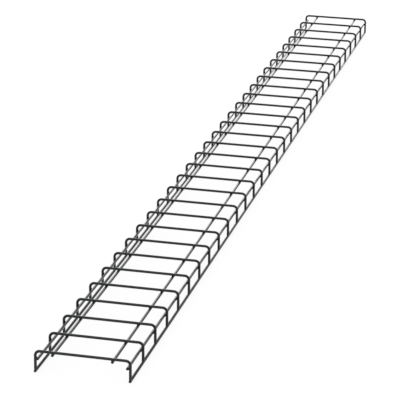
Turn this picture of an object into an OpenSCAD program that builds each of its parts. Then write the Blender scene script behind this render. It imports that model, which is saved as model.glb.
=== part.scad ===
// Wire mesh cable tray: a shallow trough of round steel wire, welded at every crossing.
// It lies with its open side down. X runs across the tray, Y along it and Z up.
// The origin is on the floor, under the middle of the tray.

/* [Wire] */
// Diameter of every wire, over its coat
wire_d = 6.2; // [4:0.1:7]
// How far two wires sink into each other at a weld
weld_sink = 0.5; // [0.2:0.1:1.2]

/* [Cross wires] */
// Number of cross wires
cross_count = 31; // [2:1:50]
// Distance from one cross wire to the next
cross_pitch = 100; // [50:5:150]
// Clear width between the two legs of a cross wire
clear_w = 200; // [160:5:400]
// Overall height of the tray
tray_h = 51; // [47:1:120]
// Inside radius of the bend between the bar and a leg
bend_r = 7; // [4:0.5:11]

/* [Long wires] */
// Distance between the two base wires
base_gap = 130; // [20:5:160]
// Height of a side wire above the edge wire of its side
side_rise = 28; // [10:1:32]
// Length of a long wire past the middle of the last cross wire
overhang = 4; // [4:0.5:40]

/* [Hidden] */
// Facets of a round wire
wire_fn = 24;
wire_r = wire_d / 2;
coat_colour = "#2b2d2f";

// Centre lines of a cross wire: its bar, its legs and the bends that join them
bar_z = tray_h - wire_r;
leg_x = clear_w / 2 + wire_r;
bend_axis_r = bend_r + wire_r;
bar_half = leg_x - bend_axis_r;
leg_top_z = bar_z - bend_axis_r;
leg_end_z = wire_d - weld_sink;

// Centre lines of the long wires on the right-hand side, as [x, z]
edge_at = [leg_x, wire_r];
side_at = [leg_x - wire_d + weld_sink, wire_r + side_rise];
base_at = [base_gap / 2, bar_z - wire_d + weld_sink];
long_wires_at = [edge_at, side_at, base_at];

first_y = -(cross_count - 1) * cross_pitch / 2;
long_wire_l = (cross_count - 1) * cross_pitch + 2 * overhang;
// A weld seat is cut right through the cross wire
seat_l = 2 * wire_d;

hands = ["left", "right"];
function hand_sign(hand) = hand == "left" ? -1 : 1;
function cross_name(i) = str("cross_wire_", i < 10 ? "0" : "", i);

// A straight run of wire along Z, from the origin up
module wire_run(length) {
    cylinder(d = wire_d, h = length, $fn = wire_fn);
}

// A straight run of wire along Y, centred on y = 0 at the given [x, z]
module run_along_tray(at, length) {
    translate([at[0], length / 2, at[1]])
        rotate([90, 0, 0])
            wire_run(length);
}

// A quarter bend in the XZ plane, from the end of the bar down to the top of the right leg
module bend() {
    translate([bar_half, 0, leg_top_z])
        rotate([90, 0, 0])
            rotate_extrude(angle = 90, $fn = wire_fn * 4)
                translate([bend_axis_r, 0])
                    circle(d = wire_d, $fn = wire_fn);
}

module leg() {
    translate([leg_x, 0, leg_end_z])
        wire_run(leg_top_z - leg_end_z);
}

module bar() {
    translate([-bar_half, 0, bar_z])
        rotate([0, 90, 0])
            wire_run(2 * bar_half);
}

// One cross wire at y = 0, with a shallow seat for each long wire that is welded to it
module formed_wire() {
    difference() {
        union() {
            bar();
            for (hand = hands)
                mirror([hand_sign(hand) < 0 ? 1 : 0, 0, 0]) {
                    bend();
                    leg();
                }
        }
        for (hand = hands)
            for (at = long_wires_at)
                run_along_tray([hand_sign(hand) * at[0], at[1]], seat_l);
    }
}

module cross_wire(i) {
    color(coat_colour)
        translate([0, first_y + (i - 1) * cross_pitch, 0])
            formed_wire();
}

module long_wire(hand, at) {
    color(coat_colour)
        run_along_tray([hand_sign(hand) * at[0], at[1]], long_wire_l);
}

// Rim of the open side, welded to the leg ends
module edge_wire(hand) {
    long_wire(hand, edge_at);
}

// Runs inside the legs, just under the bends
module side_wire(hand) {
    long_wire(hand, side_at);
}

// Runs inside the bars, where the cables lie on it
module base_wire(hand) {
    long_wire(hand, base_at);
}

for (i = [1 : cross_count])
    cross_wire(i);
for (hand = hands) {
    edge_wire(hand);
    side_wire(hand);
    base_wire(hand);
}
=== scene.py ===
import math

import bmesh
import bpy
from mathutils import Matrix, Vector


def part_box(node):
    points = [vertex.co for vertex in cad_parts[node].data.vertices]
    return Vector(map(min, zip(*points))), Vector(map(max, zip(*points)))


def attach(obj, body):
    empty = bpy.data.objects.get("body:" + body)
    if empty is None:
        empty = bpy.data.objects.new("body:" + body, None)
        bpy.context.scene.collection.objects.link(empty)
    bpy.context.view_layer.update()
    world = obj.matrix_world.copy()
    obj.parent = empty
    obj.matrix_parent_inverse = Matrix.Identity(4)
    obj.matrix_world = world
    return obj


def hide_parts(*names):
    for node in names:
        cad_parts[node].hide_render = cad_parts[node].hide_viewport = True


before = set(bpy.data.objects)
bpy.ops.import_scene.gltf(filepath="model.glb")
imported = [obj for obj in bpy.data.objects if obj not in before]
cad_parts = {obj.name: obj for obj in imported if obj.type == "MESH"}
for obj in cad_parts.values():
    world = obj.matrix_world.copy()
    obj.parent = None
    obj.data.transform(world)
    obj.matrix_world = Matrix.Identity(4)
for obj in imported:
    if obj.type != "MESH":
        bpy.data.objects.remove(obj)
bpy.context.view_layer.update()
crossNodes = sorted(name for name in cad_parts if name.startswith("cross_wire"))
print("frame loaded:", len(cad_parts), "wires,", len(crossNodes), "of them across")


def centreOf(node):
    low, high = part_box(node)
    return (low + high) / 2


# places that the frame gives: all wires are of one diameter, and the tray is the same on both hands
edgeLow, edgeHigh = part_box("edge_wire_right")
crossLow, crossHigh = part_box(crossNodes[0])
wireRadius = (edgeHigh.x - edgeLow.x) / 2
legX = crossHigh.x - wireRadius
legEnd = crossLow.z
barZ = crossHigh.z - wireRadius
baseAt = centreOf("base_wire_right")
sideAt = centreOf("side_wire_right")
edgeAt = centreOf("edge_wire_right")
weldRows = [centreOf(node).y for node in crossNodes]
hands = {"Left": -1, "Right": 1}
acrossTray, alongTray, upward = Vector((1, 0, 0)), Vector((0, 1, 0)), Vector((0, 0, 1))


def newNode(tree, kind, **inputs):
    node = tree.nodes.new(kind)
    for name, value in inputs.items():
        node.inputs[name].default_value = value
    return node


# powder coat: black, glossy enough to mirror what stands behind the tray
wireCoat = {
    "deepTone": (0.0050, 0.0075, 0.0098, 1),
    "paleTone": (0.0098, 0.0132, 0.0166, 1),
    "toneSpan": (0.3, 0.72),  # where the clouds turn from deep to pale
    "cloudScale": 14,  # slow change of tone along a wire, per metre
    "cloudDetail": 4,
    "cloudRough": 0.6,
    "roughLow": 0.09,
    "roughHigh": 0.19,
    "specular": 0.30,
    "peelScale": 560,  # orange peel, about 1.8 mm from hump to hump
    "peelDetail": 1,
    "peelDepth": 0.00010,
    "peelStrength": 0.6,
    "grainScale": 2400,
    "grainDetail": 2,
    "grainShare": 0.25,
}
# welds have rougher metal below the coat
weldCoat = dict(wireCoat, roughLow=0.16, roughHigh=0.30, peelScale=900, peelDepth=0.00016)


def makePowderCoat(name, coat):
    mat = bpy.data.materials.new(name)
    mat.use_nodes = True
    tree = mat.node_tree
    shader = tree.nodes["Principled BSDF"]
    shader.inputs["Specular IOR Level"].default_value = coat["specular"]
    coords = tree.nodes.new("ShaderNodeTexCoord")
    cloud = newNode(tree, "ShaderNodeTexNoise", Scale=coat["cloudScale"],
                    Detail=coat["cloudDetail"], Roughness=coat["cloudRough"])
    peel = newNode(tree, "ShaderNodeTexNoise", Scale=coat["peelScale"], Detail=coat["peelDetail"])
    grain = newNode(tree, "ShaderNodeTexNoise", Scale=coat["grainScale"], Detail=coat["grainDetail"])
    for texture in (cloud, peel, grain):
        tree.links.new(coords.outputs["Object"], texture.inputs["Vector"])

    tone = tree.nodes.new("ShaderNodeValToRGB")
    deep, pale = tone.color_ramp.elements
    deep.position, pale.position = coat["toneSpan"]
    deep.color, pale.color = coat["deepTone"], coat["paleTone"]
    tree.links.new(cloud.outputs["Fac"], tone.inputs["Fac"])
    tree.links.new(tone.outputs["Color"], shader.inputs["Base Color"])

    gloss = tree.nodes.new("ShaderNodeMapRange")
    gloss.inputs["To Min"].default_value = coat["roughLow"]
    gloss.inputs["To Max"].default_value = coat["roughHigh"]
    tree.links.new(cloud.outputs["Fac"], gloss.inputs["Value"])
    tree.links.new(gloss.outputs["Result"], shader.inputs["Roughness"])

    height = tree.nodes.new("ShaderNodeMath")
    height.operation = "MULTIPLY_ADD"
    height.inputs[1].default_value = coat["grainShare"]
    tree.links.new(grain.outputs["Fac"], height.inputs[0])
    tree.links.new(peel.outputs["Fac"], height.inputs[2])
    bump = newNode(tree, "ShaderNodeBump", Strength=coat["peelStrength"], Distance=coat["peelDepth"])
    tree.links.new(height.outputs["Value"], bump.inputs["Height"])
    tree.links.new(bump.outputs["Normal"], shader.inputs["Normal"])
    return mat


wirePowderCoat = makePowderCoat("wirePowderCoat", wireCoat)
weldPowderCoat = makePowderCoat("weldPowderCoat", weldCoat)
print("powder coat made for wires and welds")


def addPiece(name, bm, mat, node=None):
    mesh = bpy.data.meshes.new(name)
    bm.to_mesh(mesh)
    bm.free()
    mesh.materials.append(mat)
    mesh.shade_smooth()
    piece = bpy.data.objects.new(name, mesh)
    bpy.context.scene.collection.objects.link(piece)
    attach(piece, "root")
    if node:
        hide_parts(node)


# a wire grows from one ring, which is pushed along straight runs and spun round bends
wire = {
    "sides": 24,
    "endRound": 0.0009,  # the coat rounds the sheared ends
    "endSteps": 3,
}


def edgesOf(geometry):
    return [part for part in geometry if isinstance(part, bmesh.types.BMEdge)]


def vertsOf(geometry):
    return [part for part in geometry if isinstance(part, bmesh.types.BMVert)]


def startRing(bm, centre, along):
    turn = upward.rotation_difference(along).to_matrix().to_4x4()
    ring = bmesh.ops.create_circle(bm, segments=wire["sides"], radius=wireRadius,
                                   matrix=Matrix.Translation(centre) @ turn)
    return list(dict.fromkeys(edge for vert in ring["verts"] for edge in vert.link_edges))


def pushRing(bm, ring, along, start, stops):
    for stop in stops:
        made = bmesh.ops.extrude_edge_only(bm, edges=ring)["geom"]
        bmesh.ops.translate(bm, vec=along * (stop - start), verts=vertsOf(made))
        ring = edgesOf(made)
        start = stop
    return ring


def closeEnds(bm, rings):
    for ring in rings:
        bmesh.ops.contextual_create(bm, geom=ring)
    bmesh.ops.bevel(bm, geom=[edge for ring in rings for edge in ring], offset=wire["endRound"],
                    segments=wire["endSteps"], profile=0.5, affect="EDGES", material=-1)
    bmesh.ops.recalc_face_normals(bm, faces=bm.faces)


# flat print that a welding electrode leaves on the wire, opposite the weld
electrode = {"length": 0.0038, "fade": 0.0011, "depth": 0.0004}


def printStops(places):
    half = electrode["length"] / 2
    outer = half + electrode["fade"]
    return [place + step for place in places for step in (-outer, -half, half, outer)]


def pressPrint(bm, middle, along, outward):
    flat = middle + outward * (wireRadius - electrode["depth"])
    reach = (electrode["length"] + electrode["fade"]) / 2  # takes the two inner rings
    touched = [vert for vert in bm.verts
               if (vert.co - flat).dot(outward) > 0
               and abs((vert.co - middle).dot(along)) < reach]
    squeeze = Vector([1 - abs(part) for part in outward])
    bmesh.ops.scale(bm, vec=squeeze, space=Matrix.Translation(-flat), verts=touched)


# a cross wire is a leg, a bend, the bar, a bend and a leg
crossWire = {"bendInside": 0.007, "bendSteps": 10}


def buildCrossWire(y):
    bendRadius = crossWire["bendInside"] + wireRadius
    barHalf = legX - bendRadius
    legTop = barZ - bendRadius
    legStops = [legEnd] + printStops([sideAt.z]) + [legTop]
    barStops = printStops([-baseAt.x, baseAt.x]) + [barHalf]

    bm = bmesh.new()
    first = startRing(bm, Vector((-legX, y, legEnd)), upward)
    ring = pushRing(bm, first, upward, legEnd, legStops[1:])
    for side in (-1, 1):
        bent = bmesh.ops.spin(bm, geom=ring, cent=(side * barHalf, y, legTop), axis=alongTray,
                              angle=math.pi / 2, steps=crossWire["bendSteps"])
        ring = edgesOf(bent["geom_last"])
        if side < 0:
            ring = pushRing(bm, ring, acrossTray, -barHalf, barStops)
    last = pushRing(bm, ring, upward, legTop, legStops[-2::-1])
    closeEnds(bm, [first, last])
    for side in hands.values():
        pressPrint(bm, Vector((side * baseAt.x, y, barZ)), acrossTray, upward)
        pressPrint(bm, Vector((side * legX, y, sideAt.z)), upward, acrossTray * side)
    return bm


for node, y in zip(crossNodes, weldRows):
    addPiece("crossWire" + node[-2:], buildCrossWire(y), wirePowderCoat, node)
print("cross wires made:", len(crossNodes))


# base and side wires carry prints on the inside of the tray
# edge wires are welded to the leg ends and have none
longWires = {"edge": None, "side": -acrossTray, "base": -upward}


def buildLongWire(node, inward):
    low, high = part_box(node)
    middle = (low + high) / 2
    stops = printStops(weldRows) if inward else []
    bm = bmesh.new()
    first = startRing(bm, Vector((middle.x, low.y, middle.z)), alongTray)
    last = pushRing(bm, first, alongTray, low.y, stops + [high.y])
    closeEnds(bm, [first, last])
    for y in weldRows if inward else []:
        pressPrint(bm, Vector((middle.x, y, middle.z)), alongTray, inward)
    return bm


for kind, inward in longWires.items():
    for hand, side in hands.items():
        node = kind + "_wire_" + hand.lower()
        facing = inward and Vector((inward.x * side, 0, inward.z))
        addPiece(kind + "Wire" + hand, buildLongWire(node, facing), wirePowderCoat, node)
print("long wires made:", 2 * len(longWires))


# welds: a small collar of squeezed-out metal at each crossing, under the same coat
weld = {
    "around": 12,
    "rings": 6,
    "uneven": 0.10,  # how much one collar differs from the next
    "rowSwing": 2.3,  # turns of that difference, from row to row and from axis to axis
    "axisSwing": 1.7,
    "crossWide": 0.0037,
    "crossThick": 0.0017,
    "buttSize": (0.0029, 0.0039, 0.0022),  # at a leg end, over the edge wire
    "buttRise": 0.0026,  # middle of that collar above the edge wire's middle
}
wide, thick = weld["crossWide"], weld["crossThick"]
weldPlaces = {
    "base": (Vector((baseAt.x, 0, (baseAt.z + barZ) / 2)), (wide, wide, thick)),
    "side": (Vector(((sideAt.x + legX) / 2, 0, sideAt.z)), (thick, wide, wide)),
    "edge": (Vector((legX, 0, edgeAt.z + weld["buttRise"])), weld["buttSize"]),
}


def buildWelds(place, size, side):
    bm = bmesh.new()
    for row, y in enumerate(weldRows):
        swing = [weld["rowSwing"] * row + weld["axisSwing"] * axis + side for axis in range(3)]
        reach = [length * (1 + weld["uneven"] * math.sin(turn)) for length, turn in zip(size, swing)]
        spot = Matrix.Translation((place.x * side, y, place.z))
        bmesh.ops.create_uvsphere(bm, u_segments=weld["around"], v_segments=weld["rings"], radius=1,
                                  matrix=spot @ Matrix.Diagonal((*reach, 1)))
    return bm


for kind, (place, size) in weldPlaces.items():
    for hand, side in hands.items():
        addPiece(kind + "Welds" + hand, buildWelds(place, size, side), weldPowderCoat)
print("welds made:", 2 * len(weldPlaces) * len(weldRows))


# what the camera, mirrors and glass see, where the floor and the room show white
def seenDirectly(tree):
    path = tree.nodes.new("ShaderNodeLightPath")
    seen = path.outputs["Is Camera Ray"]
    for kind in ("Is Glossy Ray", "Is Transmission Ray"):
        either = tree.nodes.new("ShaderNodeMath")
        either.operation = "MAXIMUM"
        tree.links.new(seen, either.inputs[0])
        tree.links.new(path.outputs[kind], either.inputs[1])
        seen = either.outputs["Value"]
    return seen


# pale floor that shows white and still takes a soft shadow
floorLook = {"size": 40, "glow": 0.88, "shade": 0.17, "bounce": 0.8}


def grey(level):
    return (level, level, level, 1)


def makeFloor():
    mat = bpy.data.materials.new("paleFloor")
    mat.use_nodes = True
    tree = mat.node_tree
    tree.nodes.remove(tree.nodes["Principled BSDF"])
    glow = newNode(tree, "ShaderNodeEmission", Strength=floorLook["glow"])
    shade = newNode(tree, "ShaderNodeBsdfDiffuse", Color=grey(floorLook["shade"]))
    bounce = newNode(tree, "ShaderNodeBsdfDiffuse", Color=grey(floorLook["bounce"]))
    shown = tree.nodes.new("ShaderNodeAddShader")
    choice = tree.nodes.new("ShaderNodeMixShader")
    tree.links.new(glow.outputs["Emission"], shown.inputs[0])
    tree.links.new(shade.outputs["BSDF"], shown.inputs[1])
    tree.links.new(seenDirectly(tree), choice.inputs["Fac"])
    tree.links.new(bounce.outputs["BSDF"], choice.inputs[1])
    tree.links.new(shown.outputs["Shader"], choice.inputs[2])
    tree.links.new(choice.outputs["Shader"], tree.nodes["Material Output"].inputs["Surface"])

    bm = bmesh.new()
    bmesh.ops.create_grid(bm, x_segments=1, y_segments=1, size=floorLook["size"] / 2)
    mesh = bpy.data.meshes.new("floor")
    bm.to_mesh(mesh)
    bm.free()
    mesh.materials.append(mat)
    floor = bpy.data.objects.new("floor", mesh)
    bpy.context.scene.collection.objects.link(floor)


makeFloor()

roomLook = {"shown": 1.0, "ambient": 0.65}  # white where it is seen, softer as light


def makeRoom():
    room = bpy.data.worlds.new("whiteRoom")
    bpy.context.scene.world = room
    room.use_nodes = True
    tree = room.node_tree
    shown = tree.nodes["Background"]
    shown.inputs["Color"].default_value = grey(1)
    shown.inputs["Strength"].default_value = roomLook["shown"]
    ambient = newNode(tree, "ShaderNodeBackground", Color=grey(1), Strength=roomLook["ambient"])
    choice = tree.nodes.new("ShaderNodeMixShader")
    tree.links.new(seenDirectly(tree), choice.inputs["Fac"])
    tree.links.new(ambient.outputs["Background"], choice.inputs[1])
    tree.links.new(shown.outputs["Background"], choice.inputs[2])
    tree.links.new(choice.outputs["Shader"], tree.nodes["World Output"].inputs["Surface"])


makeRoom()

# the long wires mirror the softboxes behind the far end, the low one in their far half and the high
# one in their near half, and the bars of the cross wires mirror the one at the front
softboxes = {
    "lowSoftbox": {"place": (-1.0, 5.5, 1.2), "size": (3.6, 2.0), "radiance": 2.8},
    "highSoftbox": {"place": (-1.6, 5.5, 3.8), "size": (5.0, 3.0), "radiance": 1.7},
    "frontSoftbox": {"place": (-1.3, -4.4, 2.2), "size": (2.4, 2.4), "radiance": 1.0},
}


def makeSoftbox(name, box):
    data = bpy.data.lights.new(name, "AREA")
    data.shape = "RECTANGLE"
    data.size, data.size_y = box["size"]
    data.energy = box["radiance"] * math.pi * data.size * data.size_y
    place = Vector(box["place"])
    light = bpy.data.objects.new(name, data)
    light.location = place
    light.rotation_mode = "QUATERNION"
    light.rotation_quaternion = (-place).to_track_quat("-Z", "Y")
    bpy.context.scene.collection.objects.link(light)


for name, box in softboxes.items():
    makeSoftbox(name, box)

camera = {
    "place": (1.1264, -5.1800, 1.7356),
    "yaw": -0.23482,  # left of the tray's own line, in radians
    "pitch": 0.33588,  # looking down
    "roll": 0.014,
    "lens": 181.31,
    "sensor": 36,
}


def makeCamera():
    data = bpy.data.cameras.new("camera")
    data.lens = camera["lens"]
    data.sensor_width = camera["sensor"]
    yaw, pitch, roll = camera["yaw"], camera["pitch"], camera["roll"]
    ahead = Vector((math.sin(yaw) * math.cos(pitch), math.cos(yaw) * math.cos(pitch),
                    -math.sin(pitch)))
    level = Vector((math.cos(yaw), -math.sin(yaw), 0))
    top = level.cross(ahead)
    right = level * math.cos(roll) + top * math.sin(roll)
    turn = Matrix((right, right.cross(ahead), -ahead)).transposed()
    view = bpy.data.objects.new("camera", data)
    view.matrix_world = Matrix.Translation(camera["place"]) @ turn.to_4x4()
    bpy.context.scene.collection.objects.link(view)
    bpy.context.scene.camera = view


makeCamera()
bpy.context.scene.view_settings.view_transform = "Standard"
print("floor, room, softboxes and camera set")
